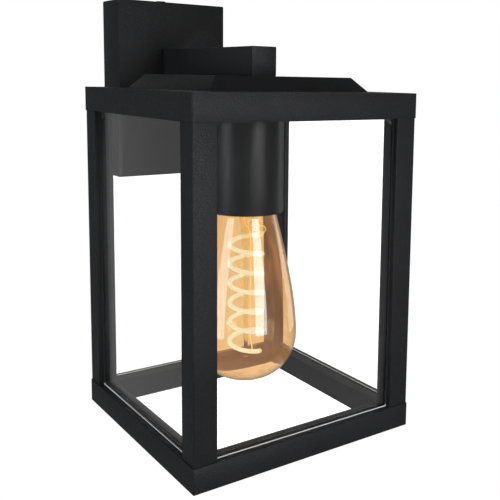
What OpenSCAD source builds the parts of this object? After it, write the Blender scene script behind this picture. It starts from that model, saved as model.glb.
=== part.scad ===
// Outdoor wall lantern: a square glass cage hung from an arm on a wall box.
// Millimetres, +Z up. The origin is the middle of the bracket's back, on the wall;
// the wall lies at +Y and the front of the lantern faces -Y.

/* [Cage] */
// Width and depth of the square cage
cage_w = 150; // [140:1:185]
// Height of the cage, both frames included
cage_h = 210; // [205:1:260]
// Height of the cage's top above the middle of the wall box
cage_rise = 1.9; // [-10:0.1:10]
// Height of the top frame's skirt
top_frame_h = 15; // [13:0.5:20]
// Height of the bottom frame
bottom_frame_h = 14.5; // [13:0.5:20]
// Depth of the bars of both frames
bar_d = 14.5; // [14:0.5:18]
// Radius of the frames' upright corners
frame_corner_r = 0.8; // [0.4:0.1:2]
// Thickness of the top frame's ceiling
ceiling_t = 2.5; // [2:0.1:4]
// Side of the square corner posts
post_w = 14; // [13:0.1:14.5]
// Step from a frame's face back to the face of the posts
post_inset = 0.5; // [0.2:0.1:1]
// Radius of the tie bolts that clamp the cage together
tie_r = 2; // [1.5:0.1:2.2]

/* [Glass] */
// Thickness of the panes
glass_t = 3; // [2:0.5:4]
// Distance from a frame's face back to the outside of the panes
glass_inset = 4.2; // [4:0.1:6]
// Depth of the grooves that hold the panes
groove_d = 4; // [3:0.5:4.5]
// Free space on each side of a pane in its groove
groove_gap = 0.15; // [0.1:0.05:0.3]
// Side of the silicone pads in the upper corners of the panes
pad_w = 4.5; // [3:0.5:6]

/* [Roof] */
// Distance from the cage's face to the foot of the hipped roof
roof_inset = 20.8; // [18:0.1:24]
// Run of the roof's slope, foot to flat top
roof_run = 7.7; // [5:0.1:10]
// Height of the roof
roof_h = 8.6; // [7:0.1:12]
// Wall of the roof
roof_t = 2; // [1.5:0.1:2.5]

/* [Arm] */
// Width of the arm's tube
arm_w = 17.1; // [16.6:0.1:22]
// Height of the arm's tube
arm_h = 17.7; // [17:0.1:24]
// Wall of the arm's tube
arm_t = 2; // [1.5:0.1:2.2]
// Distance from the cage's front face to the arm's front end
arm_front = 54.9; // [45:0.1:58]

/* [Wall box] */
// Width of the wall box
box_w = 81.8; // [78:0.1:110]
// Height of the wall box
box_h = 123.4; // [116:0.1:160]
// Depth of the wall box, its gasket included
box_d = 30; // [29:0.5:45]
// Wall of the wall box
box_t = 2.5; // [2:0.1:3]
// Free gap between the cage and the wall box
wall_gap = 27.3; // [20:0.1:60]
// Thickness of the foam gasket
gasket_t = 1.5; // [1:0.1:3]

/* [Wall bracket] */
// Width of the bracket's plate
bracket_w = 60; // [56:1:68]
// Thickness of the bracket's sheet
bracket_t = 2; // [1.5:0.5:2.5]
// Distance between the middles of the two wall slots
slot_spacing = 42; // [38:1:44]
// Length of a wall slot, end to end
slot_l = 12; // [8:1:14]
// Half width of a wall slot
slot_r = 2.6; // [2.1:0.1:3.2]
// Radius of the supply cable's way through the grommet
cable_r = 4; // [3:0.1:5]

/* [Lamp cup and lampholder] */
// Radius of the lamp cup
cup_r = 23.4; // [22.5:0.1:28]
// Wall of the lamp cup
cup_t = 1.2; // [1:0.1:2]
// Length of the lamp cup, from the roof's underside to its rim
cup_l = 82.5; // [80:0.5:100]
// Radius of the lampholder
holder_r = 18.5; // [17.5:0.1:20]
// Distance from the cup's rim up to the lampholder's rim
holder_setback = 3; // [2:0.5:8]
// Radius inside the lampholder's screw shell
shell_r = 13.4; // [13.35:0.05:13.6]
// Radius of the hollow threaded nipple
nipple_r = 4; // [4:0.1:4.4]
// Radius of the nipple's bore
nipple_bore_r = 2.8; // [2.6:0.1:3]

/* [Bulb] */
// Largest diameter of the bulb
bulb_d = 65; // [58:0.5:80]
// Length of the glass from the cap to the tip
glass_l = 111.5; // [100:0.5:118]
// Radius of the glass at its shoulder, just below the cap
shoulder_r = 18.4; // [16:0.1:20]
// Thickness of the bulb's glass
bulb_t = 0.8; // [0.6:0.1:1.2]
// Radius of the screw cap
cap_r = 13.1; // [12.9:0.05:13.1]
// Length of the screw cap with its end contact
cap_l = 28; // [26:0.5:30]
// Radius of the filament's spiral
spiral_r = 10.4; // [8:0.1:12]
// Number of turns of the filament
spiral_turns = 5.8; // [3:0.1:8]
// Half thickness of the filament
filament_r = 1.4; // [0.6:0.1:1.5]

/* [Hidden] */

$fn = 64;
eps = 0.01;                 // overshoot of a cut past a face
touch_gap = 0.05;           // clearance between pieces that rest on each other
seat_gap = 0.1;             // free space round a part that is seated in another
fit_gap = 0.3;              // free space between parts that are taken apart

cage_y = -(box_d + wall_gap + cage_w / 2);          // middle of the cage
post_h = cage_h - top_frame_h - bottom_frame_h;
tie_in = 5;                                         // a tie bolt from a post's outer faces
tie_at = cage_w / 2 - post_inset - tie_in;          // a tie bolt from the cage's axis
pane_mid = cage_w / 2 - glass_inset - glass_t / 2;  // middle plane of a pane
groove_w = glass_t + 2 * groove_gap;
pane_bottom = -cage_h + bottom_frame_h - groove_d + groove_gap;
pane_top = -top_frame_h + groove_d - groove_gap;
pane_half = cage_w / 2 - post_inset - post_w + groove_d - groove_gap;

roof_half = cage_w / 2 - roof_inset;
roof_top_half = roof_half - roof_run;
roof_boss_at = roof_top_half - 4;                   // a roof screw from the cage's axis
roof_boss_r = 3.2;

arm_front_y = cage_y - cage_w / 2 + arm_front;
arm_z = cage_rise + roof_h + arm_h / 2;             // middle height of the arm
arm_screw_at = cup_r + 6;                           // the arm screw from the nipple
collar_w = arm_w + 26;
collar_h = arm_h + 12;
collar_t = 3;
pad_t = 3;                                          // cast pads inside the wall box
front_in_y = -box_d + box_t;                        // inner face of the box's front
collar_y = front_in_y + pad_t;
arm_back_y = collar_y + collar_t;
collar_screw_at = arm_w / 2 + 7;

box_in_h = box_h - 2 * box_t;
flange_d = 16;                                      // reach of the bracket's flanges
box_screw_y = -9;
box_screw_r = 2;
screw_head_r = 3.5;
notch_r = box_screw_r + fit_gap;

block_w = 30;
block_h = 18;
block_d = 13;
block_z = -24;
pole_pitch = 9;
block_y = collar_y + block_d / 2;
sleeve_r = 2.6;
wire_r = 0.9;
earth_at = [-27, 2];                                // earth screw, x and z

roof_under = roof_h - roof_t;
cup_top_t = 1.6;
cup_rim = roof_under - cup_l;
holder_rim = cup_rim + holder_setback;
bulb_top = holder_rim - 0.6;                        // where the glass meets the cap
contact_top = bulb_top + cap_l;
core_floor = contact_top + 3;
core_top = core_floor + 5;
dome_h = 22;
dome_t = 2.2;
dome_top = core_top + dome_h;
nipple_low = dome_top - dome_t - 2;
nipple_high = roof_h + arm_t + 4.2;
nut_h = 3;
nut_r = 6.3;
terminal_at = 10;                                   // a terminal from the axis
shell_t = 0.5;

glass_neck_r = cap_r - 0.9;
bulb_tip = bulb_top - glass_l;
belly_z = bulb_tip + 0.265 * glass_l;
shoulder_l = 3;
stem_l = 34;
stem_r = 3.6;
rod_r = 1.3;
spiral_top = bulb_top - 18.9;
spiral_low = belly_z - 10.7;

// Rectangle with rounded corners, centred.
module rounded_rect(w, h, r) {
  square([w - 2 * r, h], center = true);
  square([w, h - 2 * r], center = true);
  for (x = [-1, 1], y = [-1, 1])
    translate([x * (w / 2 - r), y * (h / 2 - r)]) circle(r = r);
}

// Moves a piece into the cage's own frame: its axis, with z = 0 at the cage's top.
module in_cage() {
  translate([0, cage_y, cage_rise]) children();
}

// Stands a drawing, with x across and y up, so that it is extruded along Y.
module along_y(y_low, y_high) {
  translate([0, y_high, 0]) rotate([90, 0, 0]) linear_extrude(y_high - y_low) children();
}

// Screw with a round head on top of its shank, pointing down from z = 0.
module screw(r, l, head_r, head_h) {
  translate([0, 0, -l]) cylinder(r = r, h = l + head_h / 2);
  difference() {
    cylinder(r = head_r, h = head_h);
    for (a = [0, 90])
      rotate(a) translate([-head_r * 0.55, -0.4, head_h - 0.8])
        cube([head_r * 1.1, 0.8, 1]);
  }
}

// Puts a child at each of the cage's four corners.
module at_corners(d) {
  for (x = [-1, 1], y = [-1, 1]) translate([x * d, y * d, 0]) children();
}

// Points of a smooth curve through p, with `steps` points to a span.
function spline_at(a, b, c, d, t) =
  0.5 * ((2 * b) + (c - a) * t + (2 * a - 5 * b + 4 * c - d) * t * t
    + (3 * b - a - 3 * c + d) * t * t * t);
function spline(p, steps) = concat(
  [for (i = [0:len(p) - 2], s = [0:steps - 1])
    spline_at(p[max(i - 1, 0)], p[i], p[i + 1], p[min(i + 2, len(p) - 1)], s / steps)],
  [p[len(p) - 1]]);

function unit(v) = v / norm(v);
function heading(p, i) =
  unit(p[min(i + 1, len(p) - 1)] - p[max(i - 1, 0)]);

// Round bar along the points of p; `side` is a direction that the path never takes.
module bar_along(p, r, sides, side) {
  n = len(p);
  rings = [for (i = [0:n - 1])
    let (t = heading(p, i), u = unit(cross(t, side)), v = cross(t, u))
    for (k = [0:sides - 1])
      p[i] + r * (cos(360 * k / sides) * u + sin(360 * k / sides) * v)];
  walls = [for (i = [0:n - 2], k = [0:sides - 1])
    let (a = i * sides + k, b = i * sides + (k + 1) % sides)
    [a, b, b + sides, a + sides]];
  start = [for (k = [0:sides - 1]) sides - 1 - k];
  end = [for (k = [0:sides - 1]) (n - 1) * sides + k];
  polyhedron(points = rings, faces = concat([start], walls, [end]), convexity = 10);
}

// ---- Wall bracket -------------------------------------------------------------

module wall_bracket() {
  color("silver") difference() {
    union() {
      along_y(-bracket_t, 0) rounded_rect(bracket_w, box_in_h - 2 * fit_gap, 1);
      for (z = [-1, 1])
        translate([-bracket_w / 3, -flange_d, z * (box_in_h / 2 - fit_gap - bracket_t / 2)
          - bracket_t / 2]) cube([bracket_w * 2 / 3, flange_d, bracket_t]);
    }
    for (x = [-1, 1]) wall_slot(x * slot_spacing / 2);
    along_y(-bracket_t - eps, eps) circle(r = cable_r + 3);
    translate([0, box_screw_y, -box_h / 2]) cylinder(r = box_screw_r + touch_gap, h = box_h);
  }
}

// A slot with round ends, cut through the bracket's plate.
module wall_slot(x) {
  run = slot_l / 2 - slot_r;
  along_y(-bracket_t - eps, eps) translate([x, 0]) {
    square([2 * run, 2 * slot_r], center = true);
    for (s = [-1, 1]) translate([s * run, 0]) circle(r = slot_r);
  }
}

module cable_grommet() {
  color("dimgray") rotate([90, 0, 0]) difference() {
    union() {
      cylinder(r = cable_r + 3 - seat_gap, h = bracket_t + seat_gap + 0.5);
      translate([0, 0, bracket_t + seat_gap]) cylinder(r = cable_r + 5.5, h = 2.4);
    }
    translate([0, 0, -eps]) cylinder(r = cable_r, h = bracket_t + 5);
  }
}

module box_screws() {
  color("darkgray") for (side = [0, 180])
    rotate([0, side, 0]) translate([0, box_screw_y, box_h / 2 + seat_gap])
      screw(box_screw_r, box_t + bracket_t + 3, screw_head_r, 2.2);
}

// ---- Wall box -----------------------------------------------------------------

module wall_box() {
  color("#26272a") difference() {
    union() {
      difference() {
        along_y(-box_d, -gasket_t) rounded_rect(box_w, box_h, 1);
        along_y(front_in_y, 0) rounded_rect(box_w - 2 * box_t, box_in_h, 1);
      }
      along_y(front_in_y - eps, collar_y) translate([0, arm_z])
        rounded_rect(collar_w, collar_h, 2);
      along_y(front_in_y - eps, collar_y) translate([0, block_z])
        rounded_rect(block_w, block_h, 2);
      along_y(front_in_y - eps, collar_y) translate(earth_at) circle(r = 4);
    }
    along_y(-box_d - eps, eps) translate([0, arm_z])
      square([arm_w + 2 * seat_gap, arm_h + 2 * seat_gap], center = true);
    along_y(collar_y - 4.5, eps) {
      for (x = [-1, 1]) translate([x * collar_screw_at, arm_z]) circle(r = 1.7);
      for (x = [-1, 1]) translate([x * pole_pitch / 2, block_z]) circle(r = 1.3);
      translate(earth_at) circle(r = 1.7);
    }
    box_notches();
  }
}

// Slots, open towards the wall, that slide over the shanks of the box screws.
module box_notches() {
  translate([0, 0, -box_h]) linear_extrude(2 * box_h) {
    translate([0, box_screw_y]) circle(r = notch_r);
    translate([-notch_r, box_screw_y]) square([2 * notch_r, -box_screw_y + 1]);
  }
}

module wall_gasket() {
  color("#3a3a3a") difference() {
    along_y(-gasket_t + touch_gap, 0) difference() {
      rounded_rect(box_w - 1.6, box_h - 1.6, 1);
      rounded_rect(box_w - 2 * box_t - 5, box_in_h - 5, 2);
    }
    box_notches();
    translate([-bracket_w / 2 - fit_gap, -gasket_t, -box_in_h / 2])
      cube([bracket_w + 2 * fit_gap, gasket_t + 1, box_in_h]);
  }
}

// ---- Terminal block -----------------------------------------------------------

module terminal_block() {
  color("ivory") difference() {
    translate([-block_w / 2 + 0.5, collar_y, block_z - block_h / 2])
      cube([block_w - 1, block_d, block_h]);
    for (p = [-1:1]) translate([p * pole_pitch, block_y, block_z]) {
      translate([0, 0, -block_h / 2 - eps]) cylinder(r = sleeve_r + touch_gap, h = block_h + 1);
      for (z = [-1, 1]) translate([0, 0, z * 5]) rotate([-90, 0, 0])
        cylinder(r = 2, h = block_d);
    }
    for (x = [-1, 1])
      translate([x * pole_pitch / 2, 0, block_z]) {
        along_y(collar_y - eps, collar_y + block_d + eps) circle(r = 1.5);
        along_y(collar_y + 6, collar_y + block_d + eps) circle(r = 1.9);
      }
    for (x = [-1, 1], z = [-1, 1])
      translate([x * pole_pitch / 2 - 0.5, collar_y + block_d - 4, block_z + z * 6.5 - 2.6])
        cube([1, 5, 5.2]);
  }
}

module terminal_sleeves() {
  color("goldenrod") for (p = [-1:1]) translate([p * pole_pitch, block_y, block_z])
    difference() {
      translate([0, 0, -block_h / 2 + 1.5]) cylinder(r = sleeve_r, h = block_h - 3);
      translate([0, 0, -block_h / 2]) cylinder(r = 1.6, h = block_h);
      for (z = [-1, 1]) translate([0, 0, z * 5]) rotate([-90, 0, 0])
        cylinder(r = 1.55, h = sleeve_r + 1);
    }
}

module clamp_screws() {
  color("gold") for (p = [-1:1], z = [-1, 1])
    translate([p * pole_pitch, block_y + 5, block_z + z * 5]) rotate([-90, 0, 0])
      difference() {
        translate([0, 0, -3.8]) cylinder(r = 1.5, h = 4.8);
        translate([-2, -0.3, 0.3]) cube([4, 0.6, 1]);
      }
}

module block_screws() {
  color("silver") for (x = [-1, 1])
    translate([x * pole_pitch / 2, collar_y + 6 + seat_gap, block_z])
      rotate([-90, 0, 0]) screw(1.2, 9, 1.75, 1.6);
}

module earth_screw() {
  color("goldenrod") translate([earth_at[0], collar_y + 1.6, earth_at[1]])
    rotate([-90, 0, 0]) {
      screw(1.65, 5.5, 3.2, 2);
      translate([0, 0, -1.5]) cylinder(r = 3.8, h = 1.5);
    }
}

// ---- Arm ----------------------------------------------------------------------

module arm_collar() {
  color("gray") along_y(collar_y, collar_y + collar_t) translate([0, arm_z]) difference() {
    rounded_rect(collar_w, collar_h, 2);
    square([arm_w + 2 * seat_gap, arm_h + 2 * seat_gap], center = true);
    for (x = [-1, 1]) translate([x * collar_screw_at, 0]) circle(r = 2.1);
  }
}

module collar_screws() {
  color("silver") for (x = [-1, 1])
    translate([x * collar_screw_at, collar_y + collar_t + touch_gap, arm_z])
      rotate([-90, 0, 0]) screw(1.65, collar_t + 4, 3.5, 2);
}

module arm_tube() {
  floor_z = cage_rise + roof_h;
  color("#1d1e20") difference() {
    along_y(arm_front_y, arm_back_y) translate([0, arm_z]) difference() {
      rounded_rect(arm_w, arm_h, 0.8);
      rounded_rect(arm_w - 2 * arm_t, arm_h - 2 * arm_t, 0.8);
    }
    translate([0, cage_y, floor_z - 1]) cylinder(r = nipple_r + touch_gap, h = arm_t + 2);
    translate([0, cage_y + arm_screw_at, floor_z - 1]) cylinder(r = 1.55, h = arm_t + 2);
  }
}

module arm_end_cap() {
  plug_w = arm_w - 2 * arm_t - 2 * seat_gap;
  plug_h = arm_h - 2 * arm_t - 2 * seat_gap;
  color("#1d1e20") translate([0, 0, arm_z]) {
    along_y(arm_front_y - 1.2, arm_front_y) rounded_rect(arm_w, arm_h, 0.8);
    along_y(arm_front_y - eps, arm_front_y + 6) difference() {
      rounded_rect(plug_w, plug_h, 0.8);
      rounded_rect(plug_w - 3, plug_h - 3, 0.8);
    }
  }
}

// ---- Roof ---------------------------------------------------------------------

// Low hipped form: two prisms with sloping sides, one along each axis, cut together.
module hipped(foot, top, h) {
  intersection_for(turn = [0, 90])
    rotate([90, 0, turn]) translate([0, 0, -foot - 1]) linear_extrude(2 * foot + 2)
      polygon([[-foot, 0], [foot, 0], [top, h], [-top, h]]);
}

module roof_hood() {
  color("#1f2023") in_cage() difference() {
    union() {
      difference() {
        hipped(roof_half, roof_top_half, roof_h);
        translate([0, 0, -eps]) hipped(roof_half - roof_t, roof_top_half - roof_t, roof_under);
      }
      at_corners(roof_boss_at) cylinder(r = roof_boss_r, h = roof_under + 0.5);
    }
    translate([0, 0, -1]) cylinder(r = nipple_r + touch_gap, h = roof_h + 2);
    at_corners(roof_boss_at) translate([0, 0, -1]) cylinder(r = 1.3, h = 6);
    translate([0, arm_screw_at, -1]) cylinder(r = 1.7, h = roof_h + 2);
  }
}

module arm_screw() {
  color("silver") in_cage() translate([0, arm_screw_at, roof_under - seat_gap])
    rotate([180, 0, 0]) screw(1.5, roof_t + arm_t + 1.2, 2.9, 1.8);
}

module roof_screws() {
  color("dimgray") in_cage() at_corners(roof_boss_at) translate([0, 0, -ceiling_t - touch_gap])
    rotate([180, 0, 0]) screw(1.25, ceiling_t + 4.2, 2.6, 1.8);
}

// ---- Cage ---------------------------------------------------------------------

// Outline of a square frame's bars.
module frame_outline() {
  difference() {
    rounded_rect(cage_w, cage_w, frame_corner_r);
    square(cage_w - 2 * bar_d, center = true);
  }
}

// Square channel that takes the edges of the four panes.
module pane_groove() {
  for (a = [0:90:270]) rotate(a)
    translate([-pane_half - groove_gap, -pane_mid - groove_w / 2])
      square([2 * (pane_half + groove_gap), groove_w]);
}

module top_frame() {
  color("#2b2c2f") in_cage() difference() {
    union() {
      translate([0, 0, -top_frame_h]) linear_extrude(top_frame_h) frame_outline();
      translate([0, 0, -ceiling_t]) linear_extrude(ceiling_t)
        square(cage_w - 2 * bar_d + 1, center = true);
    }
    translate([0, 0, -top_frame_h - eps]) linear_extrude(groove_d + eps) pane_groove();
    translate([0, 0, -ceiling_t - 1]) cylinder(r = cup_r + 0.4, h = ceiling_t + 2);
    at_corners(roof_boss_at) translate([0, 0, -ceiling_t - 1])
      cylinder(r = 1.5, h = ceiling_t + 2);
    at_corners(tie_at) translate([0, 0, -top_frame_h - 1])
      cylinder(r = tie_r + touch_gap, h = top_frame_h - 2);
  }
}

module bottom_frame() {
  color("#2b2c2f") in_cage() translate([0, 0, -cage_h]) difference() {
    linear_extrude(bottom_frame_h) frame_outline();
    translate([0, 0, bottom_frame_h - groove_d]) linear_extrude(groove_d + 1) pane_groove();
    at_corners(tie_at) {
      translate([0, 0, -1]) cylinder(r = tie_r + 0.2, h = bottom_frame_h + 2);
      translate([0, 0, -eps]) cylinder(r = 2 * tie_r + 0.2, h = 3);
    }
  }
}

// A corner post, drawn as the left front one: its outer faces look to -X and -Y.
module post(x, y) {
  reach = post_w - groove_d;
  groove_at = glass_inset - post_inset - groove_gap;
  color("#2b2c2f") in_cage()
    mirror([x > 0 ? 1 : 0, 0, 0]) mirror([0, y > 0 ? 1 : 0, 0])
      translate([-cage_w / 2 + post_inset, -cage_w / 2 + post_inset,
        -top_frame_h - post_h]) linear_extrude(post_h) difference() {
        translate([post_w / 2, post_w / 2]) rounded_rect(post_w, post_w, 0.5);
        translate([reach, groove_at]) square([groove_d + 1, groove_w]);
        translate([groove_at, reach]) square([groove_w, groove_d + 1]);
        translate([tie_in, tie_in]) circle(r = tie_r + 0.2);
      }
}

module post_front_left() { post(-1, -1); }
module post_front_right() { post(1, -1); }
module post_rear_left() { post(-1, 1); }
module post_rear_right() { post(1, 1); }

module tie_bolts() {
  bolt_l = cage_h - 8;
  color("dimgray") in_cage() at_corners(tie_at) translate([0, 0, -cage_h + 2.9])
    rotate([180, 0, 0]) screw(tie_r, bolt_l, 2 * tie_r, 2.4);
}

// A pane, turned to its side of the cage.
module pane(turn) {
  color("lightcyan", 0.35) in_cage() rotate(turn)
    translate([-pane_half, -pane_mid - glass_t / 2, pane_bottom])
      cube([2 * pane_half, glass_t, pane_top - pane_bottom]);
}

module glass_front() { pane(0); }
module glass_right() { pane(90); }
module glass_rear() { pane(180); }
module glass_left() { pane(270); }

// Three-cornered pads behind the upper corners of each pane.
module glass_pads() {
  pad_l = 2;
  inner = cage_w / 2 - post_inset - post_w;
  color("#202020") in_cage() for (a = [0:90:270], side = [0, 1]) rotate(a)
    mirror([side, 0, 0])
      translate([-inner + touch_gap, -pane_mid + glass_t / 2 + touch_gap + pad_l,
        -top_frame_h - touch_gap]) rotate([90, 0, 0]) linear_extrude(pad_l)
          polygon([[0, 0], [pad_w, 0], [0, -pad_w]]);
}

// ---- Lamp cup and lampholder ----------------------------------------------------

module lamp_cup() {
  color("#1b1b1d") in_cage() rotate_extrude() difference() {
    translate([0, cup_rim]) square([cup_r, cup_l - touch_gap]);
    translate([-1, cup_rim - 1]) square([cup_r - cup_t + 1, cup_l + 1 - cup_top_t]);
    translate([-1, cup_rim]) square([nipple_r + 1.1, cup_l + 1]);
    translate([cup_r - cup_t - 0.4, cup_rim - eps]) square([0.41, 1.2]);
  }
}

module threaded_nipple() {
  color("gold") in_cage() translate([0, 0, nipple_low]) difference() {
    cylinder(r = nipple_r, h = nipple_high - nipple_low);
    translate([0, 0, -1]) cylinder(r = nipple_bore_r, h = nipple_high - nipple_low + 2);
  }
}

module hex_nut(z) {
  translate([0, 0, z]) rotate(30) difference() {
    cylinder(r = nut_r, h = nut_h, $fn = 6);
    translate([0, 0, -1]) cylinder(r = nipple_r + touch_gap, h = nut_h + 2);
  }
}

module nipple_nuts() {
  color("gold") in_cage() {
    hex_nut(roof_h + arm_t + touch_gap);
    hex_nut(roof_under - cup_top_t - seat_gap - nut_h);
    hex_nut(dome_top + touch_gap);
  }
}

module holder_dome() {
  color("#e8e6df") in_cage() rotate_extrude() difference() {
    union() {
      translate([0, core_top + touch_gap]) square([holder_r, dome_h - 4]);
      translate([0, dome_top - 4.1]) square([holder_r - 4, 4.1]);
      translate([holder_r - 4, dome_top - 4]) circle(r = 4);
    }
    translate([-1, core_top]) square([holder_r - dome_t + 1, dome_h - 4 - dome_t]);
    translate([-1, core_top]) square([holder_r - 4 - dome_t + 1, dome_h - dome_t]);
    translate([-1, core_top]) square([nipple_r + 1.05, dome_h + 5]);
    translate([-5, core_top]) square([5, 60]);
  }
}

module holder_core() {
  color("#e8e6df") in_cage() difference() {
    translate([0, 0, holder_rim]) cylinder(r = holder_r, h = core_top - holder_rim);
    translate([0, 0, holder_rim - 1])
      cylinder(r = shell_r + shell_t + seat_gap, h = core_floor - holder_rim + 1);
    for (x = [-1, 1]) translate([x * terminal_at, 0, core_floor - 1]) cylinder(r = 1.3, h = 10);
  }
}

module holder_screw_shell() {
  color("khaki") in_cage() rotate_extrude() {
    translate([shell_r, holder_rim + 1]) square([shell_t, core_floor - holder_rim - 1.1]);
    translate([shell_r - 2, core_floor - 0.6]) square([2.2, 0.5]);
  }
}

// Springy tongue that bears on the bulb's end contact.
module holder_centre_contact() {
  t = 0.5;
  z = contact_top + fit_gap;
  color("khaki") in_cage() translate([0, 3, 0]) rotate([90, 0, 0]) linear_extrude(6)
    polygon([[-8, core_floor - 0.1], [-8, core_floor - 0.1 - t], [-5, z], [3, z],
      [3, z + t], [-4.6, z + t], [-6.8, core_floor - 0.1]]);
}

module holder_terminals() {
  color("goldenrod") in_cage() for (x = [-1, 1]) translate([x * terminal_at, 0, core_top + touch_gap])
    difference() {
      translate([-3, -3, 0]) cube([6, 6, 7]);
      translate([0, 0, -1]) cylinder(r = 1.2, h = 3);
      translate([0, 0, 3.4]) cylinder(r = 1.3, h = 5);
      translate([0, 4, 2.2]) rotate([90, 0, 0]) cylinder(r = 1.15, h = 2.5);
    }
}

module holder_screws() {
  color("silver") in_cage() for (x = [-1, 1])
    translate([x * terminal_at, 0, core_top + 7.15]) screw(1.2, 3.4, 2.2, 1.5);
}

// ---- Wires --------------------------------------------------------------------

pole_top = block_z + block_h / 2 - 1.3;
dome_in = cage_rise + core_top;

// Route of a conductor: block, arm, nipple, terminal in the lampholder.
function lead_route(pole_x, lane, end_x) = [
  [pole_x, block_y, pole_top], [pole_x, block_y, pole_top + 6],
  [lane * 4, -13, 8], [lane * 2.6, -16, arm_z - 2.5], [lane * 2, -26, arm_z],
  [lane * 2, -50, arm_z - 1], [lane * 2, cage_y + 26, arm_z - 1],
  [lane * 1.4, cage_y + 9, arm_z + 1], [lane * 1.2, cage_y + 1.5, arm_z - 0.5],
  [lane * 1.2, cage_y, cage_rise + nipple_high - 4], [lane * 1.2, cage_y, cage_rise],
  [lane * 1.2, cage_y, cage_rise + nipple_low],
  [lane * 1.9, cage_y + 1.4, cage_rise + nipple_low - 3],
  [end_x * 0.75, cage_y + 7.5, dome_in + 8.5], [end_x, cage_y + 7.5, dome_in + 3.2],
  [end_x, cage_y + 5, dome_in + 2.3], [end_x, cage_y + 3.1, dome_in + 2.25]];

module live_wire() {
  color("saddlebrown") bar_along(spline(lead_route(0, -1, -terminal_at), 5),
    wire_r, 8, [1, 0, 0]);
}

module neutral_wire() {
  color("royalblue") bar_along(spline(lead_route(pole_pitch, 1, terminal_at), 5),
    wire_r, 8, [1, 0, 0]);
}

module earth_wire() {
  color("yellowgreen") bar_along(spline([[-pole_pitch, block_y, pole_top],
    [-pole_pitch, block_y, pole_top + 5], [-pole_pitch - 5, block_y + 1, pole_top + 12],
    [earth_at[0] + 6, collar_y + 4, earth_at[1] - 5],
    [earth_at[0] + 3.2, collar_y + 1.2, earth_at[1] - 4.2]], 5), wire_r, 8, [0, 1, 0]);
}

// ---- Bulb ---------------------------------------------------------------------

// Point of a cubic curve with the four handles of p.
function curve_at(p, t) = pow(1 - t, 3) * p[0] + 3 * pow(1 - t, 2) * t * p[1]
  + 3 * (1 - t) * t * t * p[2] + t * t * t * p[3];

// Half outline of the envelope, drawn `skin` inside its outer surface.
function bulb_outline(skin) =
  let (r = bulb_d / 2 - skin, tip = bulb_tip + skin,
    neck = glass_neck_r - skin, side = shoulder_r - skin, low = bulb_top - shoulder_l,
    shoulder = [[neck, bulb_top], [neck, bulb_top - 2], [side - 1.5, low + 1.2], [side, low]],
    flank = [[side, low], [side + 5, low - 19], [r, belly_z + 25], [r, belly_z]],
    base = [[r, belly_z], [r, belly_z - 10.2], [r * 0.81, tip], [0, tip]])
  concat([for (t = [0:1 / 5:1.001]) curve_at(shoulder, t)],
    [for (t = [1 / 14:1 / 14:1.001]) curve_at(flank, t)],
    [for (t = [1 / 12:1 / 12:1.001]) curve_at(base, t)]);

module bulb_glass() {
  color("#e2a45c", 0.5) in_cage() rotate_extrude() difference() {
    polygon(concat(bulb_outline(0), [[0, bulb_top]]));
    polygon(concat([[0, bulb_top + 1], [glass_neck_r - bulb_t, bulb_top + 1]],
      bulb_outline(bulb_t)));
  }
}

// Flared glass stem that carries the lead wires and the middle rod.
module bulb_stem() {
  flare_r = glass_neck_r - bulb_t - seat_gap;
  color("lightyellow", 0.5) in_cage() rotate_extrude()
    polygon([[0, bulb_top - 0.5], [flare_r, bulb_top - 0.5], [flare_r - 0.4, bulb_top - 1.5],
      [5.2, bulb_top - 6], [stem_r, bulb_top - 12], [stem_r, bulb_top - stem_l + 12],
      [rod_r, bulb_top - stem_l + 6], [rod_r, spiral_low - 6], [0, spiral_low - 6]]);
}

function spiral_point(t) = [spiral_r * cos(360 * spiral_turns * t),
  spiral_r * sin(360 * spiral_turns * t), spiral_top + (spiral_low - spiral_top) * t];

module bulb_filament() {
  color("#ffd070") in_cage()
    bar_along([for (t = [0:1 / 116:1.001]) spiral_point(t)], filament_r, 8, [0, 0, 1]);
}

// Wires from the stem to the two ends of the spiral.
module bulb_lead_wires() {
  r = 0.4;
  low = spiral_point(1);
  end_angle = atan2(low[1], low[0]);
  color("silver") in_cage() {
    translate([stem_r + seat_gap, 0, spiral_top]) rotate([0, 90, 0])
      cylinder(r = r, h = spiral_r - stem_r - 2 * seat_gap - filament_r);
    rotate(end_angle) translate([rod_r + seat_gap, 0, spiral_low]) rotate([0, 90, 0])
      cylinder(r = r, h = spiral_r - rod_r - 2 * seat_gap - filament_r);
  }
}

module bulb_cap() {
  color("silver") in_cage() rotate_extrude() difference() {
    union() {
      translate([0, bulb_top + touch_gap]) square([cap_r, cap_l - 7]);
      translate([0, bulb_top + touch_gap + cap_l - 8]) polygon([[0, 0], [cap_r, 1], [11, 3], [0, 3]]);
    }
    translate([-1, bulb_top - 1]) square([cap_r - 0.6 + 1, cap_l - 7]);
    translate([-1, bulb_top - 1]) square([9.6, cap_l + 2]);
  }
}

module bulb_cap_insulator() {
  base = bulb_top + cap_l - 5;
  color("#15151a") in_cage() rotate_extrude() difference() {
    polygon([[0, base - 5], [8.5, base - 5], [8.5, base + 0.1], [10.6, base + 0.1],
      [7, base + 3.4], [0, base + 3.4]]);
    translate([-1, base - 6]) square([6, 4.5]);
  }
}

module bulb_end_contact() {
  low = bulb_top + cap_l - 1.55;
  color("silver") in_cage() translate([0, 0, low]) {
    cylinder(r = 4.6, h = 0.7);
    cylinder(r = 3.2, h = 1.55);
  }
}

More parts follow.
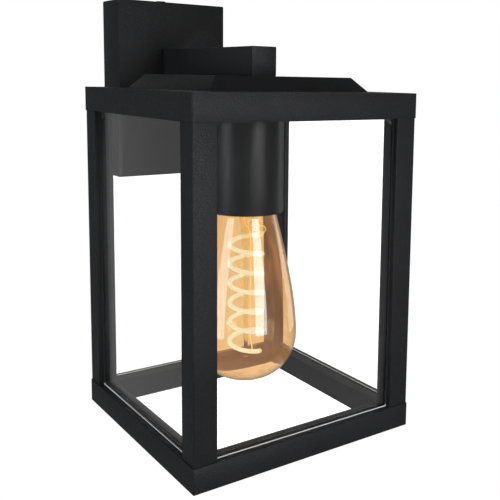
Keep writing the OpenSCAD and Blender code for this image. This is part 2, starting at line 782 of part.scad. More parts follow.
wall_bracket();
cable_grommet();
box_screws();
wall_box();
wall_gasket();
terminal_block();
terminal_sleeves();
clamp_screws();
block_screws();
earth_screw();
arm_collar();
collar_screws();
arm_tube();
arm_end_cap();
roof_hood();
arm_screw();
roof_screws();
top_frame();
post_front_left();
post_front_right();
post_rear_left();
post_rear_right();
bottom_frame();
tie_bolts();
glass_front();
glass_rear();
glass_left();
glass_right();
glass_pads();
lamp_cup();
threaded_nipple();
nipple_nuts();
holder_dome();
holder_core();
holder_screw_shell();
holder_centre_contact();
holder_terminals();
holder_screws();
live_wire();
neutral_wire();
earth_wire();
bulb_glass();
bulb_stem();
bulb_lead_wires();
bulb_filament();
bulb_cap();
bulb_cap_insulator();
bulb_end_contact();
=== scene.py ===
"""Outdoor wall lantern: the finish of every piece round the packed frame, and the studio it hangs in."""

from math import atan2, cos, pi, radians, sin

import bmesh
import bpy
from bpy.props import FloatProperty, FloatVectorProperty, PointerProperty
from mathutils import Matrix, Vector


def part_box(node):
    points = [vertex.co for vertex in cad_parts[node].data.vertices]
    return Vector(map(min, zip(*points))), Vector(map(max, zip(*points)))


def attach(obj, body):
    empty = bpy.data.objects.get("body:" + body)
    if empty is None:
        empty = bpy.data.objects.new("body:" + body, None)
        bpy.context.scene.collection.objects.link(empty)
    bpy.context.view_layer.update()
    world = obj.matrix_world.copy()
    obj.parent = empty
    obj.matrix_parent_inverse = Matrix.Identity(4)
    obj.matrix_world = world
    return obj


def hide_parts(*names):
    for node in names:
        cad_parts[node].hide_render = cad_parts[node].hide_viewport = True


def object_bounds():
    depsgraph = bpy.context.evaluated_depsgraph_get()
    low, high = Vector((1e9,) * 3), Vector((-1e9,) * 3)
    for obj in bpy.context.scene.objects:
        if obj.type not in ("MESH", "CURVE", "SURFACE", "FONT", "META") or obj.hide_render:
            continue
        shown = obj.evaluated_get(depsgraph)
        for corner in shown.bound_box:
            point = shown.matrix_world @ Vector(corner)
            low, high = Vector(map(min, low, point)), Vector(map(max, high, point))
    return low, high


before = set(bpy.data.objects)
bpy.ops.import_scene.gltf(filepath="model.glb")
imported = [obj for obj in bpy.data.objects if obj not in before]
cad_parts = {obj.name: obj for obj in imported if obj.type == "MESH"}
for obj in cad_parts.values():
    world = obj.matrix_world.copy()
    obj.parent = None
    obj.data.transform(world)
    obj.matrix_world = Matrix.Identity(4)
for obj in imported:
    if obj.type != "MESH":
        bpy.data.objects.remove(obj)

bl_info = {
    "name": "Wall Lantern",
    "version": (1, 0, 0),
    "blender": (4, 5, 0),
    "location": "View3D > Sidebar > Lantern",
    "description": "Finishes for an outdoor wall lantern and its studio",
    "category": "Object",
}

CAD_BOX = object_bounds()


def span(node):
    """Lowest corner, highest corner and middle of a frame node, in metres."""
    low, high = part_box(node)
    return low, high, (low + high) / 2


CUP_MID = span("lamp_cup")[2]
AXIS = Vector((CUP_MID.x, CUP_MID.y, 0))  # the upright line through the cup, the bulb and the cage

# Fixed sizes in metres; the ones that a user would change are in the settings further down.
FINE_EDGE = 0.0004  # rounding of the cup, the arm's end cap and the bulb's insulator
GROUND_EDGE = 0.0003  # bevel of the panes' ground edges and of the bracket's sheet
LEAD_RADIUS, STAY_RADIUS = 0.00042, 0.00022  # the bulb's inner wires

# Runs of the two lead wires, as (level, right, back, up) from the axis and from a level of the bulb.
HOOK = (
    ("inlet", 0.003, -0.0015, 0.0), ("top", 0.0014, -0.001, 0.014), ("top", 0.0022, -0.0004, 0.0105),
    ("top", 0.0012, 0.0, 0.0075), ("top", 0.0045, 0.0, 0.0062), ("top", 0.0085, -0.001, 0.0062),
    ("top", 0.012, -0.0018, 0.0055), ("top", 0.0137, -0.0014, 0.003), ("top", 0.0128, -0.0006, 0.001),
)
DROP = (
    ("inlet", -0.003, -0.0015, 0.0), ("top", -0.0012, -0.001, 0.014), ("top", -0.0021, -0.0004, 0.0105),
    ("top", -0.0004, 0.0, 0.0075), ("top", 0.0022, -0.0018, -0.003), ("foot", 0.0021, -0.0019, 0.014),
    ("foot", 0.0025, -0.0035, 0.002),
)

# The lamps: name, turn from the front in degrees, distance, rise, width, height, share of the power
# and colour. All of them face the middle of the cage.
LAMPS = (
    ("front_box", 4.0, 0.8, 0.08, 0.38, 0.64, 0.295, (0.97, 0.98, 1.0)),
    ("left_box", -92.0, 1.1, 0.08, 0.55, 0.88, 0.33, (0.86, 0.94, 1.0)),
    ("right_box", 95.0, 1.1, 0.05, 0.5, 0.88, 0.06, (0.97, 0.98, 1.0)),
)
LAMPS_AIM = -0.08  # height of that middle
FLOOR_HALF = 6.0  # half the floor's side

# The camera: where it stands, the directions to its right and upwards, and its shift.
CAMERA_AT = (-0.24905, -0.55201, 0.0095)
CAMERA_RIGHT = Vector((0.800241, -0.599401, 0.018262))
CAMERA_UP = Vector((0.061493, 0.112313, 0.991768))
CAMERA_SHIFT = (-0.16, -0.144)
SENSOR_WIDTH = 36.0


# ---- Shader maths ---------------------------------------------------------------


class Signal:
    """A socket of a material that takes part in arithmetic; each expression adds its Math nodes."""

    def __init__(self, shader, socket):
        self.shader = shader
        self.socket = socket

    def _math(self, operation, a, b):
        return self.shader.node("ShaderNodeMath", {"operation": operation}, {0: a, 1: b})

    def __add__(self, other):
        return self._math("ADD", self, other)

    __radd__ = __add__

    def __sub__(self, other):
        return self._math("SUBTRACT", self, other)

    def __rsub__(self, other):
        return self._math("SUBTRACT", other, self)

    def __mul__(self, other):
        return self._math("MULTIPLY", self, other)

    __rmul__ = __mul__

    def clamp(self):
        """Held between 0 and 1."""
        return self._math("MINIMUM", self._math("MAXIMUM", self, 0.0), 1.0)

    def step(self, low, high):
        """0 below low, 1 above high and a smooth rise between them."""
        return self.shader.node(
            "ShaderNodeMapRange",
            {"interpolation_type": "SMOOTHSTEP"},
            {"Value": self, "From Min": low, "From Max": high},
        )


class Shader:
    """A material, or the world, whose nodes are made by one method."""

    def __init__(self, name, world=False):
        self.owner = bpy.data.worlds.new(name) if world else bpy.data.materials.new(name)
        self.owner.use_nodes = True
        self.tree = self.owner.node_tree
        self.tree.nodes.clear()
        kind = "World" if world else "Material"
        self.output = self.tree.nodes.new("ShaderNodeOutput" + kind)

    def node(self, kind, settings=None, inputs=None, out=0):
        """Adds a node, sets it up, feeds its sockets and returns the Signal of one of its outputs."""
        made = self.tree.nodes.new(kind)
        for key, value in (settings or {}).items():
            setattr(made, key, value)
        for key, value in (inputs or {}).items():
            if isinstance(value, Signal):
                self.tree.links.new(value.socket, made.inputs[key])
            else:
                made.inputs[key].default_value = value
        return Signal(self, made.outputs[out])

    def here(self):
        """Object coordinates in metres."""
        return self.node("ShaderNodeTexCoord", out="Object")

    def axes(self, vector):
        """The x, y and z of a vector."""
        parts = self.node("ShaderNodeSeparateXYZ", {}, {0: vector}).socket.node.outputs
        return [Signal(self, part) for part in parts]

    def place(self, scale=(1, 1, 1), turn=(0, 0, 0), shift=(0, 0, 0)):
        """Object coordinates, moved so that `shift` is the middle, turned and stretched."""
        moved = self.node(
            "ShaderNodeVectorMath", {"operation": "SUBTRACT"}, {0: self.here(), 1: tuple(shift)})
        return self.node("ShaderNodeMapping", {}, {"Vector": moved, "Rotation": turn, "Scale": scale})

    def noise(self, size, detail, rough=0.5, where=None, distortion=0.0):
        """Noise whose features are about `size` metres across."""
        feed = {"Vector": where or self.place(), "Scale": 1.0 / size, "Detail": detail}
        feed.update({"Roughness": rough, "Distortion": distortion})
        return self.node("ShaderNodeTexNoise", {}, feed)

    def grains(self, size):
        """Distance to the nearest of scattered points, in cells of about `size` metres."""
        return self.node("ShaderNodeTexVoronoi", {}, {"Vector": self.place(), "Scale": 1.0 / size})

    def blend(self, factor, a, b):
        """Mix of two colours, whose sockets go by number because the Mix node repeats their names."""
        feed = {0: factor, 6: rgba(a), 7: rgba(b)}
        return self.node("ShaderNodeMix", {"data_type": "RGBA"}, feed, out=2)

    def mixed(self, share, a, b):
        """Mix of two shaders."""
        return self.node("ShaderNodeMixShader", {}, {0: share, 1: a, 2: b})

    def bump(self, height, depth, strength, normal=None):
        """Normal of a surface raised by `height` times `depth` metres."""
        feed = {"Height": height, "Distance": depth, "Strength": strength}
        if normal is not None:
            feed["Normal"] = normal
        return self.node("ShaderNodeBump", {}, feed)

    def surface(self, **sockets):
        """The Principled shader; a name such as base_color feeds the socket Base Color."""
        names = {"ior": "IOR", "specular": "Specular IOR Level"}
        feed = {names.get(k, k.replace("_", " ").title()): v for k, v in sockets.items()}
        return self.node("ShaderNodeBsdfPrincipled", {}, feed)

    def rays(self, *names):
        """Outputs of a Light Path node."""
        outputs = self.node("ShaderNodeLightPath").socket.node.outputs
        return [Signal(self, outputs[name]) for name in names]

    def backdrop_seen(self):
        """Masks of a backdrop: 1 where it is looked at directly, and 1 where through glass only."""
        direct, passing, diffuse, glossy = self.rays(
            "Is Camera Ray", "Is Transmission Ray", "Diffuse Depth", "Glossy Depth")
        return direct, passing * (1 - diffuse - glossy).clamp()

    def mirrored(self):
        """1 where the surroundings are seen in something glossy."""
        diffuse, glossy = self.rays("Diffuse Depth", "Glossy Depth")
        return glossy.clamp() * (1 - diffuse).clamp()

    def finish(self, shader):
        """Feeds the output with a shader and returns the material or the world."""
        self.tree.links.new(shader.socket, self.output.inputs["Surface"])
        return self.owner


def rgba(colour):
    """A colour with its alpha; a Signal stays as it is."""
    return colour if isinstance(colour, Signal) or len(colour) == 4 else (*colour, 1.0)


def tinted(colour, factor):
    """A colour made lighter or darker."""
    return tuple(min(1.0, c * factor) for c in colour)


# ---- Finishes -------------------------------------------------------------------


def powder_coat(name):
    """Fine textured matt paint: tight grain, soft orange peel and a trace of dust-pale variation."""
    look = bpy.context.scene.lantern_finish
    s = Shader(name)
    grain = s.grains(look.grain_size)
    peel = s.noise(look.grain_size * 5, 3.0, 0.55)
    cloud = s.noise(0.035, 3.0, 0.6)
    colour = tuple(look.paint_colour)
    base = s.blend(cloud.step(0.3, 0.7), tinted(colour, 0.88), tinted(colour, 1.12))
    fleck = (1 - grain.step(0.05, 0.4)) * 0.7
    base = s.blend(fleck, base, tinted(colour, 2.6))
    height = s.bump(peel, 0.00006, 0.5, s.bump(grain, 0.00015, 0.8))
    return s.finish(s.surface(
        base_color=base, roughness=(0.42 + 0.14 * peel + 0.1 * grain).clamp(), normal=height,
        specular=0.16))


def satin_paint():
    """Smoother sprayed paint, as on the turned lamp cup, with a thin mist of specks."""
    look = bpy.context.scene.lantern_finish
    s = Shader("satin_paint")
    skin = s.grains(look.grain_size)
    mist = s.noise(0.004, 3.0, 0.6)
    colour = tuple(look.cup_colour)
    base = s.blend(mist.step(0.35, 0.75), colour, tinted(colour, 1.5))
    base = s.blend((1 - skin.step(0.04, 0.2)) * 0.4, base, tinted(colour, 3.0))
    return s.finish(s.surface(
        base_color=base, roughness=(0.36 + 0.02 * mist + 0.03 * skin).clamp(),
        normal=s.bump(skin, 0.000005, 0.3), specular=0.14))


def plated(name, colour, rough, brushed=(0.02, 1.0, 1.0)):
    """Plated or drawn metal: fine lines along one way, cloudy tarnish and small pits."""
    s = Shader(name)
    lines = s.noise(0.0004, 3.0, 0.6, s.place(scale=brushed))
    cloud = s.noise(0.006, 4.0, 0.6)
    pits = s.grains(0.0012)
    base = s.blend(cloud.step(0.35, 0.8) * 0.2, colour, tinted(colour, 0.55))
    base = s.blend((1 - pits.step(0.02, 0.1)) * 0.4, base, tinted(colour, 0.4))
    return s.finish(s.surface(
        base_color=base, metallic=1.0, roughness=(rough + 0.18 * lines + 0.12 * cloud).clamp(),
        normal=s.bump(lines, 0.00001, 0.5)))


def moulded(name, colour, rough, grain, depth=0.00004, specular=0.4, vary=0.25):
    """Moulded plastic, rubber or foam: a fine skin grain and slightly uneven colour."""
    s = Shader(name)
    skin = s.grains(grain)
    cloud = s.noise(0.009, 3.0, 0.55)
    base = s.blend(cloud.step(0.3, 0.75), colour, tinted(colour, 1.0 - vary))
    return s.finish(s.surface(
        base_color=base, roughness=(rough + 0.1 * skin + 0.06 * cloud).clamp(),
        normal=s.bump(skin, depth, 0.5), specular=specular))


def porcelain():
    """Glazed lampholder ceramic with faint speckle and pooling of the glaze."""
    s = Shader("porcelain")
    pool = s.noise(0.006, 3.0, 0.5)
    speck = s.grains(0.0016)
    base = s.blend(pool.step(0.35, 0.7), (0.86, 0.84, 0.79), (0.74, 0.71, 0.65))
    base = s.blend((1 - speck.step(0.03, 0.09)) * 0.5, base, (0.45, 0.4, 0.33))
    return s.finish(s.surface(
        base_color=base, roughness=0.16 + 0.14 * pool, coat_weight=0.4,
        normal=s.bump(pool, 0.00008, 0.4)))


def sheathed(name, colour, stripe=None):
    """PVC wire sheath, with an optional stripe that winds round it."""
    s = Shader(name)
    skin = s.noise(0.0007, 2.0)
    base = s.blend(skin.step(0.3, 0.7), colour, tinted(colour, 0.8))
    if stripe is not None:
        winding = s.place(turn=(0.6, 0.4, 0.2))
        wave = s.node("ShaderNodeTexWave", {}, {"Vector": winding, "Scale": 90.0, "Distortion": 1.5})
        base = s.blend(wave.step(0.62, 0.7), base, stripe)
    return s.finish(s.surface(
        base_color=base, roughness=0.36 + 0.12 * skin, normal=s.bump(skin, 0.00002, 0.4)))


def lamp_passing(s, glass, tint):
    """Lets light from lamps through glass, so that what is behind it is lit."""
    shadow, = s.rays("Is Shadow Ray")
    clear = s.node("ShaderNodeBsdfTransparent", {}, {"Color": rgba(tint)})
    return s.finish(s.mixed(shadow, glass, clear))


def pane_glass():
    """Clear float glass with a faint wave and a trace of wiping marks."""
    look = bpy.context.scene.lantern_glass
    s = Shader("pane_glass")
    wave = s.noise(0.07, 1.0, 0.4)
    wipe = s.noise(0.012, 3.0, 0.6, s.place(scale=(1.0, 1.0, 0.25), turn=(0.0, 0.3, 0.0)))
    glass = s.surface(
        base_color=rgba(tuple(look.pane_tint)), transmission_weight=1.0, ior=look.pane_ior,
        roughness=0.012 * wipe.step(0.45, 0.8), normal=s.bump(wave, 0.00012, 0.12))
    return lamp_passing(s, glass, look.pane_tint)


def clear_silicone(foot):
    """Clear cord, pale along the foot with a painted highlight, and grey up the sides."""
    s = Shader("clear_silicone")
    z = s.axes(s.here())[2]
    cloud = s.noise(0.004, 2.0)
    grey = s.blend(cloud, (0.012, 0.012, 0.012), (0.02, 0.02, 0.02))
    # Painted highlight: the colour turns pale along the foot, where the cord and the pane's edge catch
    # light.
    base = s.blend(z.step(foot + 0.0004, foot + 0.0013), (0.6, 0.6, 0.6), grey)
    return s.finish(s.surface(
        base_color=base, roughness=0.4 + 0.1 * cloud, normal=s.bump(cloud, 0.00002, 0.3), specular=0.2))


def bulb_glass():
    """Blown glass with an amber film: denser towards the cap, with soft streaks from the blowing. Its glow
    is painted: emission that stands in for the filament's light scattered in the film, even near the tip
    and streaked above it.
    """
    look = bpy.context.scene.lantern_bulb
    s = Shader("bulb_glass")
    low, high, _ = span("bulb_glass")
    streak = s.noise(0.007, 3.0, 0.6, s.place(scale=(1.0, 1.0, 0.08), shift=AXIS))
    ripple = s.noise(0.03, 2.0, 0.5, s.place(shift=AXIS))
    up = s.axes(s.here())[2].step(low.z, high.z)
    drawn = streak.step(0.42, 0.62)
    amber, glow = tuple(look.amber), tuple(look.glow)
    tint = s.blend((0.2 * up + 0.8 * drawn).clamp(), amber, tinted(amber, 0.86))
    # Painted glow: the film's emission stands in for the filament's light scattered in it, even near the
    # tip and stronger along the streaks above.
    streaks = s.blend(drawn, tinted(glow, 0.75), tinted(glow, 1.9))
    film = s.blend(up.step(0.0, 0.3), tinted(glow, 1.3), streaks)
    glass = s.surface(
        base_color=tint, transmission_weight=1.0, ior=look.bulb_ior,
        specular_tint=rgba(tuple(look.sheen)), roughness=0.01 + 0.02 * streak,
        normal=s.bump(ripple, 0.00025, 0.25), emission_color=film, emission_strength=look.glow_strength)
    return lamp_passing(s, glass, tuple(c ** 0.5 for c in look.amber))


def stem_glass():
    """Clear drawn glass of the stem, with bubbles and drawing lines."""
    s = Shader("stem_glass")
    lines = s.noise(0.0015, 2.0, 0.5, s.place(scale=(1.0, 1.0, 0.08), shift=AXIS))
    glass = s.surface(
        base_color=(0.95, 0.86, 0.62, 1.0), transmission_weight=1.0, ior=1.04,
        roughness=0.02 + 0.05 * lines, normal=s.bump(lines, 0.0001, 0.4))
    return lamp_passing(s, glass, (0.97, 0.95, 0.9))


def lit_filament():
    """Phosphor coated flexible filament: bright, with the row of chips showing as hotter spots."""
    look = bpy.context.scene.lantern_bulb
    s = Shader("lit_filament")
    chips = s.noise(0.0011, 1.0, 0.4)
    hot = s.blend(chips.step(0.35, 0.62), tuple(look.filament_edge), tuple(look.filament_core))
    return s.finish(s.surface(
        base_color=(0.25, 0.25, 0.2, 1.0), roughness=0.5 + 0.2 * chips,
        emission_color=hot, emission_strength=look.filament_strength))


def nickel_wire_painted_glow():
    """Thin nickel wire close to the filament, with the filament's light painted on it: a golden colour and
    a painted glow.
    """
    s = Shader("nickel_wire_painted_glow")
    drawn = s.noise(0.0009, 2.0, 0.5)
    # Painted light: the golden colour and the glow stand in for the filament's light on the nickel.
    base = s.blend(drawn.step(0.3, 0.7), (0.85, 0.7, 0.36), (0.6, 0.45, 0.2))
    return s.finish(s.surface(
        base_color=base, metallic=0.4, roughness=0.3 + 0.2 * drawn,
        emission_color=(1.0, 0.82, 0.42, 1.0), emission_strength=0.55))


def dark_glass():
    """Nearly black vitreous insulator of the screw cap."""
    s = Shader("dark_glass")
    swirl = s.noise(0.003, 4.0, 0.6, distortion=1.5)
    base = s.blend(swirl.step(0.4, 0.7), (0.02, 0.02, 0.025), (0.07, 0.06, 0.07))
    return s.finish(s.surface(
        base_color=base, roughness=0.12 + 0.2 * swirl, normal=s.bump(swirl, 0.00006, 0.3)))


# ---- Modelling helpers ----------------------------------------------------------


def merged_copy(node):
    """A bmesh of a frame node with its loose triangles joined and its flat faces made whole."""
    bm = bmesh.new()
    bm.from_mesh(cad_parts[node].data)
    bmesh.ops.remove_doubles(bm, verts=bm.verts, dist=2e-6)
    bmesh.ops.dissolve_limit(bm, angle_limit=radians(0.4), verts=bm.verts, edges=bm.edges)
    return bm


def sharp_edges(bm, least):
    """Edges where two faces meet at more than `least` degrees."""
    return [e for e in bm.edges if len(e.link_faces) == 2 and e.calc_face_angle(0.0) > radians(least)]


def keep(bm, name, body, material, nodes, smooth=35.0):
    """Turns a bmesh into a piece: faces outwards, smooth below `smooth` degrees, riding on its body."""
    bmesh.ops.recalc_face_normals(bm, faces=bm.faces)
    mesh = bpy.data.meshes.new(name)
    bm.to_mesh(mesh)
    bm.free()
    piece = bpy.data.objects.new(name, mesh)
    bpy.context.scene.collection.objects.link(piece)
    mesh.materials.append(material)
    mesh.polygons.foreach_set("use_smooth", [True] * len(mesh.polygons))
    mesh.set_sharp_from_angle(angle=radians(smooth))
    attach(piece, body)
    if nodes:
        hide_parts(*nodes)


def softened(node, body, material, width, segments=2, least=30.0):
    """Piece that stands for a frame node, with the node's own shape and its sharp edges rounded."""
    bm = merged_copy(node)
    bmesh.ops.bevel(
        bm, geom=sharp_edges(bm, least), offset=width, offset_type="OFFSET", segments=segments,
        profile=0.5, affect="EDGES", clamp_overlap=True, material=-1)
    keep(bm, node + "_shell", body, material, (node,))


def refinish(material, *names):
    """Gives frame nodes a new material and leaves their shape alone."""
    for name in names:
        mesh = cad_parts[name]
        for slot in mesh.material_slots:
            slot.material = material
        if not mesh.material_slots:
            mesh.data.materials.append(material)


def spun(outline, steps, closed=False):
    """Bmesh of an outline of (radius, height) points turned about the lantern's upright axis."""
    bm = bmesh.new()
    points = [bm.verts.new((AXIS.x + r, AXIS.y, z)) for r, z in outline]
    edges = [bm.edges.new(pair) for pair in zip(points, points[1:] + points[:closed])]
    bmesh.ops.spin(
        bm, geom=points + edges, cent=AXIS, axis=(0, 0, 1), angle=2 * pi, steps=steps, use_merge=True)
    bmesh.ops.remove_doubles(bm, verts=bm.verts, dist=1e-6)
    return bm


def bezier(p, steps):
    """Points of a cubic curve, both ends included."""
    found = []
    for i in range(steps + 1):
        t = i / steps
        w = ((1 - t) ** 3, 3 * t * (1 - t) ** 2, 3 * t * t * (1 - t), t ** 3)
        found.append(tuple(sum(k * q[j] for k, q in zip(w, p)) for j in (0, 1)))
    return found


def wire(name, paths, radius, material, body, nodes, sides=8, cyclic=False):
    """Round bars along lists of points, made as a bevelled curve and then kept as one mesh."""
    curve = bpy.data.curves.new(name, "CURVE")
    curve.dimensions = "3D"
    curve.bevel_depth = radius
    curve.bevel_resolution = sides // 4
    curve.use_fill_caps = True
    for points in paths:
        line = curve.splines.new("POLY")
        line.points.add(len(points) - 1)
        line.use_cyclic_u = cyclic
        for at, p in zip(line.points, points):
            at.co = (*p, 1.0)
    shape = bpy.data.objects.new(name + "_path", curve)
    bpy.context.scene.collection.objects.link(shape)
    bpy.context.view_layer.update()
    bm = bmesh.new()
    bm.from_mesh(shape.evaluated_get(bpy.context.evaluated_depsgraph_get()).to_mesh())
    bpy.data.objects.remove(shape)
    bmesh.ops.remove_doubles(bm, verts=bm.verts, dist=1e-7)
    keep(bm, name, body, material, nodes, smooth=50.0)


def rounded(points):
    """The same path with soft bends: a smooth curve through all its points."""
    steps = 8
    found = []
    ends = [points[0], *points, points[-1]]
    for a, b, c, d in zip(ends, ends[1:], ends[2:], ends[3:]):
        for i in range(steps):
            t = i / steps
            found.append(tuple(
                0.5 * (2 * q + (r - p) * t + (2 * p - 5 * q + 4 * r - u) * t * t
                       + (3 * q - p - 3 * r + u) * t ** 3)
                for p, q, r, u in zip(a, b, c, d)))
    return found + [points[-1]]


# ---- Settings -------------------------------------------------------------------


def colour_property(name, description, default):
    return FloatVectorProperty(
        name=name, description=description, default=default, size=3, min=0.0, max=1.0, subtype="COLOR")


def number_property(name, description, default, least=0.0, **more):
    return FloatProperty(name=name, description=description, default=default, min=least, **more)


def length_property(name, description, default):
    return number_property(name, description, default, unit="LENGTH", subtype="DISTANCE")


class LanternFinish(bpy.types.PropertyGroup):
    """Paint and edges of the metalwork"""

    paint_colour: colour_property("Paint", "Colour of the powder coat", (0.0085, 0.0086, 0.0092))
    cup_colour: colour_property("Cup paint", "Colour of the lamp cup", (0.0025, 0.0025, 0.0026))
    grain_size: length_property("Grain", "Size of the powder coat's grain", 0.001)
    edge: length_property("Edge", "Rounding of the folded and cut edges", 0.0006)


class LanternGlass(bpy.types.PropertyGroup):
    """The clear panes"""

    pane_tint: colour_property(
        "Pane tint", "Colour that a pane's surface takes from light", (0.998, 1.0, 0.999))
    seal: length_property("Seal", "Radius of the clear cord round each pane", 0.00038)
    pane_ior: number_property("Pane index", "How strongly the panes reflect", 1.5, 1.0, max=2.5)


class LanternBulb(bpy.types.PropertyGroup):
    """The amber bulb"""

    amber: colour_property("Amber", "Colour that a wall of the bulb takes from light", (0.75, 0.61, 0.39))
    sheen: colour_property("Sheen", "Colour of what the film mirrors", (0.6, 0.78, 1.0))
    # The glow is painted: emission in the amber film that stands in for the filament's light scattered in
    # it.
    glow: colour_property(
        "Glow", "Colour that the amber film gives off while the bulb is lit", (0.5, 0.24, 0.11))
    glow_strength: number_property("Glow strength", "Brightness of the film", 0.13)
    shoulder: length_property("Shoulder", "Radius of the glass at its shoulder", 0.0184)
    neck: length_property("Neck", "Radius of the glass where it meets the cap", 0.0122)
    wall: length_property("Wall", "Thickness of the glass", 0.0008)
    thickness: length_property("Filament", "Half thickness of the filament", 0.0014)
    turns: number_property("Turns", "Turns of the filament's spiral", 5.8, 1.0)
    bulb_ior: number_property("Bulb index", "How strongly the bulb reflects", 1.5, 1.0, max=2.5)
    filament_core: colour_property("Filament core", "Hottest colour of the filament", (0.66, 0.84, 1.0))
    filament_edge: colour_property("Filament edge", "Colour between the chips", (0.64, 0.7, 0.62))
    filament_strength: number_property("Filament strength", "Brightness of the filament", 1.4)


class LanternStage(bpy.types.PropertyGroup):
    """Floor, lamps and camera"""

    floor_drop: length_property("Floor drop", "Distance from the lantern's foot down to the floor", 0.8)
    soft_light: number_property("Soft light", "Strength of the white surroundings", 0.3)
    through_glass: number_property(
        "Through glass", "Brightness of the backdrop that is seen through glass", 1.6)
    lamp_power: number_property("Lamps", "Power of the lamps", 25.0, unit="POWER", subtype="POWER")
    lens: number_property("Lens", "Focal length in millimetres", 55.749, 20.0, unit="CAMERA")


# ---- Pieces ---------------------------------------------------------------------


class LANTERN_OT_wall_box(bpy.types.Operator):
    """Wall box with its folded edges rounded"""

    bl_idname = "lantern.wall_box"
    bl_label = "Wall box"

    def execute(self, context):
        edge = context.scene.lantern_finish.edge
        softened("wall_box", "lantern", powder_coat("box_paint"), edge)
        foam = moulded("gasket_foam", (0.035, 0.035, 0.037), 0.85, 0.0009, 0.0002, 0.15)
        refinish(foam, "wall_gasket")
        return {"FINISHED"}


class LANTERN_OT_arm(bpy.types.Operator):
    """Arm, its end cap and the collar in the wall box"""

    bl_idname = "lantern.arm"
    bl_label = "Arm"

    def execute(self, context):
        paint = powder_coat("arm_paint")
        softened("arm_tube", "lantern", paint, context.scene.lantern_finish.edge)
        softened("arm_end_cap", "lantern", paint, FINE_EDGE)
        refinish(plated("collar_zinc", (0.6, 0.61, 0.64), 0.34), "arm_collar")
        return {"FINISHED"}


class LANTERN_OT_cage(bpy.types.Operator):
    """Roof, frames and corner posts"""

    bl_idname = "lantern.cage"
    bl_label = "Cage"

    def execute(self, context):
        edge = context.scene.lantern_finish.edge
        paint = powder_coat("cage_paint")
        softened("roof_hood", "lantern", paint, edge)
        for ring in ("top_frame", "bottom_frame"):
            softened(ring, "lantern", paint, edge * 0.6, least=40.0)
        for post in ("front_left", "front_right", "rear_left", "rear_right"):
            softened("post_" + post, "lantern", paint, edge, least=60.0)
        return {"FINISHED"}


class LANTERN_OT_panes(bpy.types.Operator):
    """Four clear panes with ground edges, and their pads"""

    bl_idname = "lantern.panes"
    bl_label = "Panes"

    def execute(self, context):
        glass = pane_glass()
        for side in ("front", "rear", "left", "right"):
            softened("glass_" + side, "lantern", glass, GROUND_EDGE, segments=1)
        pads = moulded("pad_silicone", (0.02, 0.02, 0.021), 0.45, 0.0008, 0.00002, 0.4, 0.1)
        refinish(pads, "glass_pads")
        self.seals(context.scene.lantern_glass)
        return {"FINISHED"}

    def seals(self, look):
        """Clear cords that close the joint between the frame and the outside of each pane."""
        r = look.seal
        left, right = span("post_front_left")[1].x + r, span("post_front_right")[0].x - r
        front, rear = span("post_front_left")[1].y + r, span("post_rear_left")[0].y - r
        foot, head = span("bottom_frame")[1].z + r, span("top_frame")[0].z - r
        silicone = clear_silicone(foot)
        for side in ("front", "rear", "left", "right"):
            low, high, _ = span("glass_" + side)
            if side in ("front", "rear"):
                at = low.y - r if side == "front" else high.y + r
                loop = [(left, at, foot), (right, at, foot), (right, at, head), (left, at, head)]
            else:
                at = low.x - r if side == "left" else high.x + r
                loop = [(at, front, foot), (at, rear, foot), (at, rear, head), (at, front, head)]
            wire("seal_" + side, [loop], r * 0.96, silicone, "lantern", (), 12, cyclic=True)


class LANTERN_OT_lamp_cup(bpy.types.Operator):
    """Turned lamp cup with a rolled rim"""

    bl_idname = "lantern.lamp_cup"
    bl_label = "Lamp cup"

    def execute(self, context):
        softened("lamp_cup", "lantern", satin_paint(), FINE_EDGE, segments=3)
        return {"FINISHED"}


class LANTERN_OT_lampholder(bpy.types.Operator):
    """Porcelain lampholder and its metal parts inside the cup"""

    bl_idname = "lantern.lampholder"
    bl_label = "Lampholder"

    def execute(self, context):
        refinish(porcelain(), "holder_dome", "holder_core")
        refinish(plated("shell_nickel", (0.72, 0.7, 0.64), 0.25, (1.0, 1.0, 0.05)), "holder_screw_shell")
        brass = plated("contact_brass", (0.78, 0.58, 0.27), 0.26)
        refinish(brass, "holder_centre_contact", "holder_terminals", "threaded_nipple")
        refinish(plated("nut_zinc", (0.62, 0.63, 0.66), 0.3), "nipple_nuts", "holder_screws")
        return {"FINISHED"}


class LANTERN_OT_wiring(bpy.types.Operator):
    """Terminal block and the wires to the lampholder"""

    bl_idname = "lantern.wiring"
    bl_label = "Wiring"

    def execute(self, context):
        refinish(moulded("block_nylon", (0.82, 0.82, 0.8), 0.4, 0.0007), "terminal_block")
        refinish(plated("sleeve_brass", (0.8, 0.6, 0.28), 0.22), "terminal_sleeves", "earth_screw")
        refinish(sheathed("live_sheath", (0.2, 0.09, 0.045)), "live_wire")
        refinish(sheathed("neutral_sheath", (0.03, 0.13, 0.42)), "neutral_wire")
        refinish(sheathed("earth_sheath", (0.12, 0.38, 0.08), (0.85, 0.7, 0.05)), "earth_wire")
        return {"FINISHED"}


class LANTERN_OT_bracket(bpy.types.Operator):
    """Wall bracket of pressed zinc plated sheet, and the cable grommet"""

    bl_idname = "lantern.bracket"
    bl_label = "Bracket"

    def execute(self, context):
        zinc = plated("bracket_zinc", (0.63, 0.64, 0.67), 0.32)
        softened("wall_bracket", "bracket", zinc, GROUND_EDGE, least=60.0)
        rubber = moulded("grommet_rubber", (0.03, 0.03, 0.03), 0.6, 0.0005, 0.00003, 0.3)
        refinish(rubber, "cable_grommet")
        return {"FINISHED"}


class LANTERN_OT_fixings(bpy.types.Operator):
    """Screws and tie bolts"""

    bl_idname = "lantern.fixings"
    bl_label = "Fixings"

    def execute(self, context):
        zinc = plated("screw_zinc", (0.6, 0.61, 0.64), 0.3)
        refinish(
            zinc, "clamp_screws", "block_screws", "collar_screws", "arm_screw", "roof_screws", "tie_bolts")
        dark = moulded("screw_black", (0.03, 0.03, 0.032), 0.38, 0.0005, 0.00002, 0.5)
        softened("box_screws", "bracket", dark, 0.00025)
        return {"FINISHED"}


